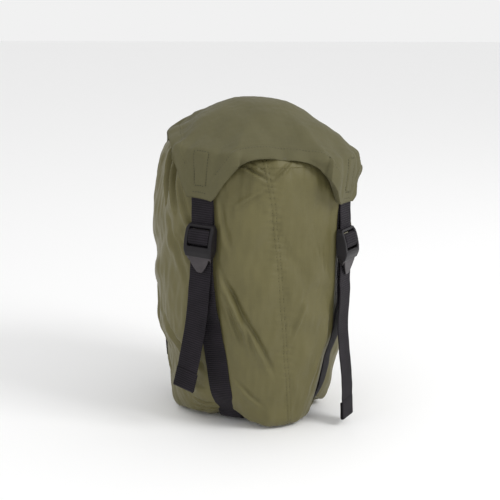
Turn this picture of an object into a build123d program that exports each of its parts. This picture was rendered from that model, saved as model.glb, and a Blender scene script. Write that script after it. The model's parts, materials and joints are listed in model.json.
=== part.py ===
from build123d import *
import os
from math import cos, radians, sin

# Compression stuff sack, stored full. Millimetres, +Z up, origin at the centre of the underside.
# The front seam faces -Y. Four straps stand at the corners, and run from crossed straps under
# the base, through four ladder lock buckles that hang from the legs of a cross shaped lid.

# The sack: a round bag that tapers to its base and domes in to a drawn neck.
CLOTH = 1.6                 # wall of each cloth piece, thicker than the real cloth
SEAM_PLAY = 0.1             # between one cloth piece and the next
BASE_Z = 3.2                # underside of the base panel, above the two layers of webbing
BASE_R = 82.0               # base panel, to its seam
EDGE_R, EDGE_ROUND = 90.0, 9.0
LOW_R, LOW_Z = 95.0, 62.0   # the drawn-in lower stretch
SIDE_R, SIDE_Z = 106.4, 130.0
SHOULDER_Z = 272.0
SEAM_R, SEAM_Z = 103.5, 292.0    # where the side panel meets the collar
DOME_R, DOME_Z = 94.0, 303.5
NECK_R, NECK_Z = 34.0, 331.0
HEM_TUBE = 4.0              # radius of the channel sewn round the neck
EYELET_R, EYELET_HOLE, EYELET_DEEP = 3.6, 2.2, 1.2

# The lid: a tent with a flat top, four legs and four arches between them.
LID_TOP, LID_FLAT_R = 353.0, 30.0
LID_EAVE = (115.0, 308.0)
LID_SHOULDER = (118.5, 300.0)
LEG_END = (113.5, 252.0)
LAYER = 1.0                 # each of the lid's two layers
LAYER_GAP = 3.2             # room between them for the sewn-in webbing
ARCH_HALF, ARCH_RISE = 70.0, 64.0
LID_TILT, TILT_Z = 3.5, 285.0    # the lid sits lower on the right

# Webbing, 25 mm wide.
WEB_WIDE, WEB_THICK = 25.0, 1.4
LOOP_THICK = 1.0
LOOP_PLAY = 0.3             # between a loop and its bar
LOOP_TOP_Z, LOOP_TOP_IN = 291.0, 1.4   # where it is sewn in, and how far inside the shoulder
CROSS_END = 80.0            # where a strap under the base starts up the side
HOP_HALF, HOP_RAMP = 16.0, 6.0   # one cross strap steps over the other
HEM_LONG, HEM_THICK = 22.0, 4.2  # each tail's folded end
TWIST = 12.0                # how far the straps' lower ends are turned about the sack's axis
STATIONS = 40               # cross sections along a twisted strap

# The ladder lock, in its own frame: x outward from its back, y across, z up from its top bar.
BUCKLE_R = 108.4            # its back, from the axis of the sack
BUCKLE_DROP = 26.0          # its top bar below the end of the lid's leg
INNER_HALF, OUTER_HALF = 12.8, 16.5
TOP_BAR, TOP_BAR_R = (1.4, 0.0), 1.6
BAND_R, BAND_THICK = 3.2, 1.8    # the curved band in front of the top bar
BAND_FROM, BAND_TO = 20.0, -58.0
MID_BAR_R = 1.5             # the middle bar is a flat one, with these rounded ends
MID_TOP, MID_LOW = (5.4, -9.6), (7.6, -17.4)
RUN_LOW = (1.5, -48.0)      # the loaded strap comes up behind the middle bar
TAIL_X = 4.4                # the tail goes down between it and the lower bar
TAIL_START, BIGHT_END = -24.6, -22.8
BUCKLE_LOW = -50.0
PLAY = 0.3

# Each corner: its bearing, counter-clockwise from +X, and how far its tail hangs below the buckle.
CORNERS = {
    "front_left": (225.0, 125.0),
    "front_right": (315.0, 157.0),
    "back_right": (45.0, 146.0),
    "back_left": (135.0, 136.0),
}


def band(points, radii, thick, side=Side.LEFT):
    """A strip of even thickness to one side of a line with rounded corners, in the XZ plane."""
    line = FilletPolyline(*points, radius=radii) if radii else Polyline(*points)
    return Plane.XZ * make_face(offset(line, thick, side=side).edges())


def ribbon(points, radii=None, wide=WEB_WIDE, thick=WEB_THICK):
    """Flat webbing whose middle line is given by (outward, up) points."""
    line = FilletPolyline(*points, radius=radii) if radii else Polyline(*points)
    first = make_face(offset(line, thick / 2, side=Side.LEFT).edges())
    second = make_face(offset(line, thick / 2, side=Side.RIGHT).edges())
    return extrude(Plane.XZ * (first + second), wide / 2, both=True)


def rod(place, radius, half):
    """A round bar across a buckle."""
    return Pos(place[0], 0, place[1]) * Rot(90, 0, 0) * Cylinder(radius, 2 * half)


def turned(section):
    """A section in the XZ plane, turned round the sack's axis."""
    return revolve(section, Axis.Z, 360)


def at_corner(solid, bearing):
    return Rot(0, 0, bearing) * solid


# ---- the sack -------------------------------------------------------------------------------


def base_panel():
    return Pos(0, 0, BASE_Z + CLOTH / 2) * Cylinder(BASE_R - SEAM_PLAY, CLOTH)


def side_panel():
    outline = [
        (BASE_R, BASE_Z),
        (EDGE_R, BASE_Z),
        (LOW_R, LOW_Z),
        (SIDE_R, SIDE_Z),
        (SIDE_R, SHOULDER_Z),
        (SEAM_R, SEAM_Z),
    ]
    return turned(band(outline, [EDGE_ROUND - 1.5, 90, 200, 40], CLOTH))


def neck_collar():
    outline = [
        (SEAM_R - 0.6, SEAM_Z + 1.2),
        (DOME_R, DOME_Z),
        (NECK_R, NECK_Z),
    ]
    return turned(band(outline, [12], CLOTH))


def neck_hem():
    """The folded channel round the mouth, which the draw cord would run in."""
    section = Plane.XZ * (Pos(NECK_R - HEM_TUBE, NECK_Z + 1) * Circle(HEM_TUBE))
    hem = turned(section)
    return hem - eyelet_place() * Cylinder(EYELET_R + SEAM_PLAY, 2 * HEM_TUBE)


def eyelet_place():
    return Pos(0, -(NECK_R - HEM_TUBE), NECK_Z + 1 + HEM_TUBE)


def cord_eyelet():
    """The metal eyelet on the channel's top, where the draw cord would come out."""
    ring = Cylinder(EYELET_R, EYELET_DEEP) - Cylinder(EYELET_HOLE, EYELET_DEEP * 2)
    return eyelet_place() * Pos(0, 0, -EYELET_DEEP / 2) * ring


# ---- the lid --------------------------------------------------------------------------------


def lid_outline(inset):
    """The lid's profile, moved in from its outer surface."""
    return [
        (0.01, LID_TOP - inset),
        (LID_FLAT_R, LID_TOP - inset),
        (LID_EAVE[0] - 0.5 * inset, LID_EAVE[1] - 0.85 * inset),
        (LID_SHOULDER[0] - inset, LID_SHOULDER[1] - 0.2 * inset),
        (LEG_END[0] - inset, LEG_END[1]),
    ]


def arches():
    """What is cut away between the legs, along X and along Y."""
    arch = Pos(0, LEG_END[1]) * Ellipse(ARCH_HALF, ARCH_RISE)
    below = Pos(0, LEG_END[1] - 40) * Rectangle(2 * ARCH_HALF, 80)
    along_y = extrude(Plane.XZ * (arch + below), 200, both=True)
    return along_y + Rot(0, 0, 90) * along_y


def tilted(solid):
    return Pos(0, 0, TILT_Z) * Rot(0, LID_TILT, 0) * Pos(0, 0, -TILT_Z) * solid


def lid_layer(inset):
    rounding = [radius - inset for radius in (8, 8, 12)]
    tent = turned(band(lid_outline(inset), rounding, LAYER, Side.RIGHT))
    return tilted(tent - arches())


def in_corner_plane(bearing, r, z):
    """Where a point of the level lid comes once it is tilted, as outward and up at a corner."""
    x = r * cos(radians(bearing))
    y = r * sin(radians(bearing))
    up = z - TILT_Z
    new_x = x * cos(radians(LID_TILT)) + up * sin(radians(LID_TILT))
    new_z = TILT_Z - x * sin(radians(LID_TILT)) + up * cos(radians(LID_TILT))
    return new_x * cos(radians(bearing)) + y * sin(radians(bearing)), new_z


def bar_height(bearing):
    """The height of a corner's top bar."""
    return in_corner_plane(bearing, LEG_END[0], LEG_END[1])[1] - BUCKLE_DROP


def buckle_loop(bearing):
    """Doubled webbing, sewn between the layers of a leg, that holds the buckle's top bar."""
    middle = LAYER + LAYER_GAP / 2
    top = in_corner_plane(bearing, LID_SHOULDER[0] - middle - LOOP_TOP_IN, LOOP_TOP_Z)
    leg = in_corner_plane(bearing, LEG_END[0] - middle, LEG_END[1] + 1)
    bar = (BUCKLE_R + TOP_BAR[0], bar_height(bearing))
    inner = TOP_BAR_R + LOOP_PLAY
    plies = ribbon([top, leg, (bar[0], bar[1] + inner + 0.7)], None, thick=2 * LOOP_THICK)
    eye = rod(bar, inner + LOOP_THICK, WEB_WIDE / 2)
    return at_corner(plies + eye - rod(bar, inner, WEB_WIDE), bearing)


# ---- straps ---------------------------------------------------------------------------------


def cross_strap_low():
    return at_corner(ribbon([(-CROSS_END, WEB_THICK / 2), (CROSS_END, WEB_THICK / 2)]), 225 + TWIST)


def cross_strap_high():
    """The strap that steps over the other where they cross."""
    low, high = WEB_THICK / 2, WEB_THICK * 1.5 + 0.2
    half = [(HOP_HALF, high), (HOP_HALF + HOP_RAMP, low), (CROSS_END, low)]
    other = [(-x, z) for x, z in reversed(half)]
    return at_corner(ribbon(other + half), 315 + TWIST)


def side_strap(bearing):
    """From under the base to the back of the buckle's middle bar, turning with the sack."""
    bar = bar_height(bearing)
    route = [
        (CROSS_END + SEAM_PLAY, WEB_THICK / 2),
        (EDGE_R + 2.6, WEB_THICK / 2),
        (LOW_R + 3.0, LOW_Z),
        (SIDE_R + 2.6, SIDE_Z + 16),
        (BUCKLE_R + RUN_LOW[0], bar + RUN_LOW[1]),
        (BUCKLE_R + MID_TOP[0] - MID_BAR_R - 0.8, bar + MID_TOP[1] - PLAY),
    ]
    line = FilletPolyline(*route, radius=[10, 90, 120, 90])
    sections = []
    for station in range(STATIONS + 1):
        place = line @ (station / STATIONS)
        along = line % (station / STATIONS)
        height = min(max((place.Y - WEB_THICK) / (bar + RUN_LOW[1]), 0), 1)
        turn = radians(bearing + TWIST * (1 - height))
        outward = Vector(cos(turn), sin(turn), 0)
        sideways = Vector(-sin(turn), cos(turn), 0)
        middle = outward * place.X + Vector(0, 0, place.Y)
        frame = Plane(middle, x_dir=sideways, z_dir=outward * along.X + Vector(0, 0, along.Y))
        sections.append(frame * Rectangle(WEB_WIDE, WEB_THICK))
    return loft(sections, ruled=True)


def strap_bight(bearing):
    """The turn of webbing round the middle bar: over its top, down its front and back below it."""
    bar = bar_height(bearing)
    top = (BUCKLE_R + MID_TOP[0], bar + MID_TOP[1])
    low = (BUCKLE_R + MID_LOW[0], bar + MID_LOW[1])
    inner = MID_BAR_R + 0.1
    lean = (MID_LOW[0] - MID_TOP[0]) / (MID_TOP[1] - MID_LOW[1])
    out = inner + WEB_THICK / 2
    over = rod(top, inner + WEB_THICK, WEB_WIDE / 2)
    over -= Pos(top[0], 0, top[1] - 10) * Box(30, 60, 20)
    under = rod(low, inner + WEB_THICK, WEB_WIDE / 2)
    under -= Pos(low[0], 0, low[1] + 11) * Box(30, 60, 20)
    front = ribbon([(top[0] + out, top[1] + lean * out), (low[0] + out, low[1] + lean * out)])
    tongue = ribbon([(low[0], low[1] - out), (BUCKLE_R + TAIL_X, bar + BIGHT_END)])
    left_below = Pos(low[0] - 10, 0, low[1] + 4) * Box(20, 60, 11)
    bight = over + front + (under - left_below) + tongue
    for end in (top, low):
        bight -= rod(end, inner, WEB_WIDE)
    return at_corner(bight, bearing)


def tail_end_height(bearing, hang):
    return bar_height(bearing) + BUCKLE_LOW - hang


def strap_tail(bearing, hang):
    x = BUCKLE_R + TAIL_X
    low = tail_end_height(bearing, hang) + HEM_LONG + PLAY
    return at_corner(ribbon([(x, bar_height(bearing) + TAIL_START), (x, low)]), bearing)


def tail_hem(bearing, hang):
    """The folded and stitched end that keeps the tail from pulling out of the buckle."""
    x = BUCKLE_R + TAIL_X
    low = tail_end_height(bearing, hang)
    hem = ribbon([(x, low), (x, low + HEM_LONG)], thick=HEM_THICK)
    return at_corner(hem, bearing)


# ---- the ladder lock ------------------------------------------------------------------------


def across(outline, half):
    """A closed outline in the buckle's side view, made solid across the buckle."""
    return extrude(Plane.XZ * make_face(Polyline(*outline, close=True).edges()), half, both=True)


def rail():
    """One side of the buckle, as its side view."""
    outline = [
        (0.2, 1.6),
        (2.0, 3.0),
        (4.8, 2.8),
        (6.4, 1.6),
        (8.8, -7.0),
        (11.8, -19.0),
        (12.4, -26.0),
        (10.8, -32.0),
        (8.0, -37.0),
        (5.2, -37.0),
        (0.2, -30.0),
    ]
    return across(outline, (OUTER_HALF - INNER_HALF) / 2)


def top_band():
    """The curved band in front of the top bar, which the loop passes behind."""
    middle = BAND_R + BAND_THICK / 2
    curve = CenterArc((0, 0), middle, BAND_TO, BAND_FROM - BAND_TO)
    first = make_face(offset(curve, BAND_THICK / 2, side=Side.LEFT).edges())
    second = make_face(offset(curve, BAND_THICK / 2, side=Side.RIGHT).edges())
    return Pos(TOP_BAR[0], 0, TOP_BAR[1]) * extrude(Plane.XZ * (first + second), OUTER_HALF - 0.5, both=True)


def middle_bar():
    ends = rod(MID_TOP, MID_BAR_R, OUTER_HALF - 0.5) + rod(MID_LOW, MID_BAR_R, OUTER_HALF - 0.5)
    web = ribbon([MID_TOP, MID_LOW], wide=2 * OUTER_HALF - 1, thick=2 * MID_BAR_R)
    return ends + web


def lift_tab():
    """The grip bar, and the rounded tab below it that is lifted to let the strap out."""
    side = across([
        (5.6, -25.4),
        (11.4, -23.8),
        (12.4, -26.0),
        (10.6, -33.0),
        (7.4, -48.6),
        (6.2, -50.0),
        (5.4, -48.6),
        (6.4, -37.0),
        (5.6, -32.0),
    ], OUTER_HALF)
    face = Polyline(
        (-OUTER_HALF, -20),
        (OUTER_HALF, -20),
        (OUTER_HALF, -33),
        (8.0, BUCKLE_LOW),
        (-8.0, BUCKLE_LOW),
        (-OUTER_HALF, -33),
        close=True,
    )
    front = extrude(Plane.YZ * make_face(face.edges()), 30, both=True)
    return side & front


def ladder_lock(bearing):
    middle = (OUTER_HALF + INNER_HALF) / 2
    body = Pos(0, middle, 0) * rail() + Pos(0, -middle, 0) * rail()
    body += rod(TOP_BAR, TOP_BAR_R, OUTER_HALF - 0.5)
    body += top_band()
    body += middle_bar()
    body += lift_tab()
    return at_corner(Pos(BUCKLE_R, 0, bar_height(bearing)) * body, bearing)


# ---- every piece, by name -------------------------------------------------------------------


def pieces():
    made = {
        "base_panel": base_panel(),
        "side_panel": side_panel(),
        "neck_collar": neck_collar(),
        "neck_hem": neck_hem(),
        "cord_eyelet": cord_eyelet(),
        "lid_outer": lid_layer(0.0),
        "lid_lining": lid_layer(LAYER + LAYER_GAP),
        "cross_strap_low": cross_strap_low(),
        "cross_strap_high": cross_strap_high(),
    }
    for corner, (bearing, hang) in CORNERS.items():
        made["buckle_loop_" + corner] = buckle_loop(bearing)
        made["ladder_lock_" + corner] = ladder_lock(bearing)
        made["side_strap_" + corner] = side_strap(bearing)
        made["strap_bight_" + corner] = strap_bight(bearing)
        made["strap_tail_" + corner] = strap_tail(bearing, hang)
        made["tail_hem_" + corner] = tail_hem(bearing, hang)
    return made


os.makedirs("parts", exist_ok=True)
for node, solid in pieces().items():
    export_step(solid, "parts/" + node + ".step")
for corner, (bearing, hang) in CORNERS.items():
    bar, end = bar_height(bearing), tail_end_height(bearing, hang)
    print(corner, "top bar", round(bar, 3), "tail end", round(end, 3))
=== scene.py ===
import json
from math import atan2, cos, degrees, hypot, pi, radians, sin

import bmesh
import bpy
import numpy as np
from mathutils import Matrix, Vector
from mathutils.kdtree import KDTree


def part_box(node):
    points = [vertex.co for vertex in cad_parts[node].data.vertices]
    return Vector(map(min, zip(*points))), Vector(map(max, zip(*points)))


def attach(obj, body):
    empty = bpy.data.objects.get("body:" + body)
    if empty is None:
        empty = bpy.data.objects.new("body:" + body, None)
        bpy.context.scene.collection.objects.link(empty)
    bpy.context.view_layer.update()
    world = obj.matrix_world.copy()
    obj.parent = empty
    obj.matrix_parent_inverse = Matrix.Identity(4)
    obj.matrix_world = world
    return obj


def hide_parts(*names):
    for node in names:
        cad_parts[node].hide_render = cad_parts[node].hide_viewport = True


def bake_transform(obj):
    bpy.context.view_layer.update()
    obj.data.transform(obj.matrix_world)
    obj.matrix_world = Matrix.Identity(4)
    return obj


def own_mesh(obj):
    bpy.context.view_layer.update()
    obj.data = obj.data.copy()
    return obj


# A stuffed compression sack: a round bag, a cross shaped lid over it, four webbing straps and
# four ladder lock buckles. Shapes are worked out in millimetres and handed over in metres.
# Bearings are in degrees, counter-clockwise from +X seen from above, and the front is at 270.

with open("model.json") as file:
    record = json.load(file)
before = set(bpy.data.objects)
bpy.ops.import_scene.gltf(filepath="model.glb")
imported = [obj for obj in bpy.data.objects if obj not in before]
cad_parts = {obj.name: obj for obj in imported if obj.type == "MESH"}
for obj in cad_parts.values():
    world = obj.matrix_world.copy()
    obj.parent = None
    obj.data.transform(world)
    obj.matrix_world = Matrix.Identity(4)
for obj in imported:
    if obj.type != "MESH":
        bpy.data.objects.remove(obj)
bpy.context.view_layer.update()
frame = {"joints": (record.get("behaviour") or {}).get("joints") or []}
MM = 0.001
TWIST = 10.5        # the sack is wrung a little: each strap's foot is this far round from its buckle


def corners_from_frame():
    """Each corner's bearing, and the radius and height of its buckle's top bar."""
    found = {}
    for joint in frame["joints"]:
        if joint["name"].startswith("buckle_tilt_"):
            x, y, z = (value / MM for value in joint["pos_m"])
            bearing = degrees(atan2(y, x)) % 360
            found[joint["name"][len("buckle_tilt_"):]] = (bearing, hypot(x, y), z)
    return found


CORNERS = corners_from_frame()


# ---- small tools --------------------------------------------------------------------------------


def smooth_step(value, low, high):
    t = np.clip((np.asarray(value, float) - low) / (high - low), 0, 1)
    return t * t * (3 - 2 * t)


def bump(distance, width):
    return np.exp(-((np.asarray(distance, float) / width) ** 2))


def turn_between(a, b):
    """How far bearing a is past bearing b, from -180 to 180."""
    return (np.asarray(a, float) - b + 180) % 360 - 180


def along(line):
    """The length along a line at each of its points."""
    steps = np.linalg.norm(np.diff(line, axis=0), axis=1)
    return np.concatenate([[0], np.cumsum(steps)])


def line_at(line, lengths, places):
    """The points of a line at some lengths along it."""
    line = np.asarray(line, float)
    return np.stack([np.interp(places, lengths, line[:, k]) for k in range(line.shape[1])], -1)


def unit(vectors):
    return vectors / np.linalg.norm(vectors, axis=-1, keepdims=True)


def rolled(line, spread, step=1.0):
    """A line of points, resampled evenly and rounded off over a length of about spread."""
    line = np.asarray(line, float)
    lengths = along(line)
    points = line_at(line, lengths, np.linspace(0, lengths[-1], int(lengths[-1] / step) + 1))
    reach = int(3 * spread / step)
    weights = bump(np.arange(-reach, reach + 1) * step, spread)
    weights /= weights.sum()
    first = 2 * points[0] - points[reach:0:-1]
    last = 2 * points[-1] - points[-2:-reach - 2:-1]
    padded = np.concatenate([first, points, last])
    return np.stack([np.convolve(padded[:, k], weights, "valid") for k in range(line.shape[1])], 1)


def ripples(u, v, size, seed, count=14):
    """A smooth random field of about unit height, whose lumps measure about size."""
    random = np.random.default_rng(seed)
    total = np.zeros(np.broadcast(u, v).shape)
    for _ in range(count):
        angle = random.uniform(0, 2 * pi)
        wave = 2 * pi / (size * random.uniform(0.7, 1.6))
        total += np.cos(wave * (u * cos(angle) + v * sin(angle)) + random.uniform(0, 2 * pi))
    return total / (count / 2) ** 0.5


def around(bearing, radius, z):
    """Points from bearings, radii and heights."""
    angle = np.radians(bearing)
    return np.stack(np.broadcast_arrays(radius * np.cos(angle), radius * np.sin(angle), z), -1)


def distance_round(bearing, middle, radius):
    """How far a bearing is past a middle one in millimetres, measured round a circle."""
    return turn_between(bearing, middle) * pi / 180 * radius


def bearings_round(columns):
    return np.arange(columns) * 360 / columns


def pairs(first, second):
    """Two fields spread over each other, as pairs of values."""
    return np.stack(np.broadcast_arrays(first, second), -1)


def new_object(name, data):
    """An object in the scene, holding a mesh, a camera or a light."""
    item = bpy.data.objects.new(name, data)
    bpy.context.scene.collection.objects.link(item)
    return item


def make_piece(name, points, faces, uv=None):
    """A mesh object from points in millimetres. uv, in millimetres too, is one pair per point."""
    mesh = bpy.data.meshes.new(name)
    points = np.reshape(points, (-1, 3)).astype(float) * MM
    mesh.from_pydata(points.tolist(), [], [list(map(int, f)) for f in faces])
    mesh.update()
    if uv is not None:
        layer = mesh.uv_layers.new(name="cloth")
        corner_points = np.zeros(len(mesh.loops), int)
        mesh.loops.foreach_get("vertex_index", corner_points)
        layer.data.foreach_set("uv", (np.reshape(uv, (-1, 2))[corner_points] * MM).ravel())
    piece = new_object(name, mesh)
    mesh.polygons.foreach_set("use_smooth", np.ones(len(mesh.polygons), bool))
    return piece


def grid_faces(rows, columns, wrap=False):
    """Quads over a grid of points, row by row, closed round on itself if wrap."""
    r, c = np.meshgrid(np.arange(rows - 1), np.arange(columns if wrap else columns - 1), indexing="ij")
    here, right = r * columns + c, r * columns + (c + 1) % columns
    return np.stack([here, right, right + columns, here + columns], -1).reshape(-1, 4)


def tube_faces(sides, columns):
    """Quads over a grid that is closed on itself both ways, as on a ring-shaped tube."""
    r, c = np.meshgrid(np.arange(sides), np.arange(columns), indexing="ij")
    ahead, after = (c + 1) % columns, (r + 1) % sides * columns
    return np.stack([r * columns + c, r * columns + ahead, after + ahead, after + c], -1).reshape(-1, 4)


def with_modifier(piece, kind, **settings):
    modifier = piece.modifiers.new(kind.lower(), kind)
    for key, value in settings.items():
        setattr(modifier, key, value)
    return modifier


def applied(piece):
    """The piece with its modifiers made real."""
    view = bpy.context.evaluated_depsgraph_get()
    mesh = bpy.data.meshes.new_from_object(piece.evaluated_get(view))
    piece.modifiers.clear()
    piece.data = mesh
    return piece


def joined(name, pieces):
    """Several objects as one."""
    bm = bmesh.new()
    for piece in pieces:
        bm.from_mesh(piece.data)
        bpy.data.objects.remove(piece)
    mesh = bpy.data.meshes.new(name)
    bm.to_mesh(mesh)
    bm.free()
    return new_object(name, mesh)


def finish_piece(piece, material, body=None, blend=None, replaces=()):
    """Gives a piece its material and the body it moves with; a piece given blend is only fixed where it is,
    with no body.
    """
    piece.data.materials.clear()
    piece.data.materials.append(material)
    if blend:
        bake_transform(piece)
    else:
        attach(piece, body)
    if replaces:
        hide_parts(*replaces)
    return piece


# ---- materials ----------------------------------------------------------------------------------


class Nodes:
    """A short way to write node trees."""

    def __init__(self, name):
        self.material = bpy.data.materials.new(name)
        self.material.use_nodes = True
        self.tree = self.material.node_tree
        self.shader = self.tree.nodes["Principled BSDF"]

    def add(self, kind, inputs=None, **settings):
        node = self.tree.nodes.new(kind)
        for key, value in settings.items():
            setattr(node, key, value)
        for key, value in (inputs or {}).items():
            self.put(node.inputs[key], value)
        return node

    def put(self, socket, value):
        if isinstance(value, bpy.types.NodeSocket):
            self.tree.links.new(value, socket)
        else:
            socket.default_value = value

    def math(self, operation, a, b=0.0):
        node = self.add("ShaderNodeMath", operation=operation)
        self.put(node.inputs[0], a)
        self.put(node.inputs[1], b)
        return node.outputs[0]

    def weighted(self, *terms):
        """A sum of sockets, each times its weight."""
        total = self.math("MULTIPLY", *terms[0])
        for term in terms[1:]:
            total = self.math("ADD", total, self.math("MULTIPLY", *term))
        return total

    def mapped(self, socket, scale):
        return self.add("ShaderNodeMapping", {"Vector": socket, "Scale": scale}).outputs[0]

    def noise(self, vector, scale, detail=3.0, roughness=0.5):
        node = self.add("ShaderNodeTexNoise", {"Vector": vector, "Scale": scale, "Detail": detail,
                                               "Roughness": roughness})
        return node.outputs[0]

    def ramp(self, socket, low, high, to_low, to_high):
        node = self.add("ShaderNodeMapRange", {"Value": socket, "From Min": low, "From Max": high,
                                               "To Min": to_low, "To Max": to_high})
        return node.outputs[0]

    def mix(self, share, a, b):
        node = self.add("ShaderNodeMix", data_type="RGBA")
        self.put(node.inputs[0], share)
        self.put(node.inputs[6], a)
        self.put(node.inputs[7], b)
        return node.outputs[2]

    def bump(self, height, distance, strength=1.0, normal=None):
        node = self.add("ShaderNodeBump", {"Height": height, "Distance": distance, "Strength": strength})
        if normal is not None:
            self.put(node.inputs["Normal"], normal)
        return node.outputs[0]

    def finish(self, color, roughness, normal, **uniform):
        self.put(self.shader.inputs["Base Color"], color)
        self.put(self.shader.inputs["Roughness"], roughness)
        self.put(self.shader.inputs["Normal"], normal)
        for key, value in uniform.items():
            self.shader.inputs[key.replace("_", " ")].default_value = value
        return self.material


def shade(color, factor):
    return tuple(min(1.0, channel * factor) for channel in color) + (1.0,)


def cloth_material(name, color, rough, sheen, thread=0.42, weave_depth=0.05, crinkle=0.12, gloss=0.3):
    """Plain weave nylon: fine threads both ways, faint slubs, soft crinkle and uneven dye."""
    n = Nodes(name)
    flat = n.add("ShaderNodeUVMap", uv_map="cloth").outputs[0]
    solid = n.add("ShaderNodeTexCoord").outputs["Object"]
    waves = []
    for direction in ("X", "Y"):
        wave = {"Vector": flat, "Scale": 1 / (thread * MM * 2 * pi), "Distortion": 0.6, "Detail": 1.0,
                "Detail Scale": 2.0}
        waves.append(n.add("ShaderNodeTexWave", wave, bands_direction=direction).outputs[1])
    weave = n.math("MULTIPLY", waves[0], waves[1])
    slub = n.noise(n.mapped(flat, (900.0, 60.0, 1.0)), 1.0, 2.0)
    cross_slub = n.noise(n.mapped(flat, (50.0, 900.0, 1.0)), 1.0, 2.0)
    threads = n.weighted((slub, 0.6), (cross_slub, 0.6))
    tone = n.weighted((n.noise(solid, 9.0, 4.0, 0.6), 0.6), (n.noise(solid, 34.0, 3.0, 0.6), 0.4))
    dyed = n.mix(n.ramp(tone, 0.35, 0.65, 0.0, 1.0), shade(color, 0.90), shade(color, 1.08))
    shown = n.mix(n.ramp(threads, 0.4, 0.8, 0.0, 0.35), dyed, shade(color, 1.22))
    rub = n.ramp(n.noise(solid, 60.0, 4.0), 0.3, 0.7, rough - 0.06, rough + 0.06)
    soft = n.bump(n.noise(solid, 85.0, 4.0, 0.55), 1.6 * MM, crinkle)
    fine = n.bump(n.math("ADD", weave, threads), weave_depth * MM, 0.9, soft)
    return n.finish(shown, rub, fine, Sheen_Weight=sheen, Sheen_Roughness=0.45, Specular_IOR_Level=gloss)


def webbing_material(name, color):
    """Ribbed nylon webbing: ribs across it, a few columns along it, and tight selvedges."""
    n = Nodes(name)
    flat = n.add("ShaderNodeUVMap", uv_map="cloth").outputs[0]
    solid = n.add("ShaderNodeTexCoord").outputs["Object"]
    parts = n.add("ShaderNodeSeparateXYZ", {"Vector": flat})
    across, down = parts.outputs[0], parts.outputs[1]
    rib_wave = n.math("COSINE", n.math("MULTIPLY", down, 2 * pi / (2.4 * MM)))
    column = n.math("SINE", n.math("MULTIPLY", across, 2 * pi / (2.1 * MM)))
    check = n.math("SINE", n.weighted((down, 2 * pi / (1.2 * MM)), (column, 1.4)))
    fuzz = n.noise(solid, 2600.0, 2.0)
    height = n.weighted((rib_wave, 0.5), (check, 0.28), (column, 0.12), (fuzz, 0.4))
    lit = n.ramp(height, -0.7, 1.1, 0.0, 1.0)
    worn = n.ramp(n.noise(solid, 55.0, 4.0), 0.35, 0.75, 0.8, 1.35)
    body = n.mix(lit, shade(color, 0.35), shade(color, 2.0))
    shown = n.add("ShaderNodeVectorMath", {0: body, 1: worn}, operation="MULTIPLY").outputs[0]
    rough = n.ramp(lit, 0.0, 1.0, 0.85, 0.62)
    normal = n.bump(height, 0.22 * MM, 0.8)
    return n.finish(shown, rough, normal, Sheen_Weight=0.03, Sheen_Roughness=0.5, Specular_IOR_Level=0.16)


def plastic_material(name, color):
    """Moulded acetal: a fine spark eroded grain, faint flow marks and handling marks."""
    n = Nodes(name)
    solid = n.add("ShaderNodeTexCoord").outputs["Object"]
    grain = n.noise(solid, 2400.0, 2.0, 0.6)
    flow = n.noise(solid, 70.0, 3.0)
    marks = n.noise(n.mapped(solid, (160.0, 160.0, 900.0)), 1.0, 5.0, 0.7)
    tone = n.weighted((flow, 0.7), (marks, 0.5))
    shown = n.mix(n.ramp(tone, 0.4, 0.8, 0.0, 1.0), shade(color, 0.8), shade(color, 1.35))
    rough = n.ramp(marks, 0.35, 0.7, 0.36, 0.52)
    normal = n.bump(grain, 0.03 * MM, 0.5)
    return n.finish(shown, rough, normal, Specular_IOR_Level=0.24)


def thread_material(name, color):
    """Twisted polyester sewing thread."""
    n = Nodes(name)
    solid = n.add("ShaderNodeTexCoord").outputs["Object"]
    twist = n.noise(n.mapped(solid, (1.0, 1.0, 2.5)), 3000.0, 2.0)
    shown = n.mix(twist, shade(color, 0.75), shade(color, 1.3))
    return n.finish(shown, 0.7, n.bump(twist, 0.05 * MM, 0.6), Specular_IOR_Level=0.2)


def metal_material(name, color):
    """Blackened brass, rubbed brighter in places."""
    n = Nodes(name)
    solid = n.add("ShaderNodeTexCoord").outputs["Object"]
    rub = n.noise(solid, 700.0, 4.0)
    shown = n.mix(n.ramp(rub, 0.4, 0.7, 0.0, 1.0), shade(color, 0.7), shade(color, 1.8))
    return n.finish(shown, n.ramp(rub, 0.3, 0.7, 0.3, 0.5), n.bump(rub, 0.03 * MM, 0.4), Metallic=0.9)


SACK_GREEN = (0.113, 0.100, 0.039)
LID_GREEN = (0.100, 0.092, 0.047)
sack_cloth = cloth_material("sack_cloth", SACK_GREEN, 0.5, 0.06)
collar_cloth = cloth_material("collar_cloth", shade(SACK_GREEN, 1.05)[:3], 0.5, 0.06)
lid_cloth = cloth_material("lid_cloth", LID_GREEN, 0.75, 0.03, 0.6, 0.07, crinkle=0.08, gloss=0.18)
lining_cloth = cloth_material("lining_cloth", shade(LID_GREEN, 0.8)[:3], 0.6, 0.05, thread=0.6)
webbing = webbing_material("webbing", (0.0095, 0.0076, 0.0102))
plastic = plastic_material("buckle_plastic", (0.0075, 0.0062, 0.0077))
# A paler copy of the buckle plastic: painted light for the outward faces of the tabs.
painted_lit_tab_plastic = plastic_material("buckle_grip_plastic", (0.046, 0.040, 0.043))
seam_thread = thread_material("seam_thread", (0.05, 0.045, 0.022))
lid_thread = thread_material("lid_thread", (0.045, 0.042, 0.026))
web_thread = thread_material("web_thread", (0.014, 0.012, 0.015))
eyelet_metal = metal_material("eyelet_metal", (0.05, 0.046, 0.035))


# ---- the sack's shape ---------------------------------------------------------------------------

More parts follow.
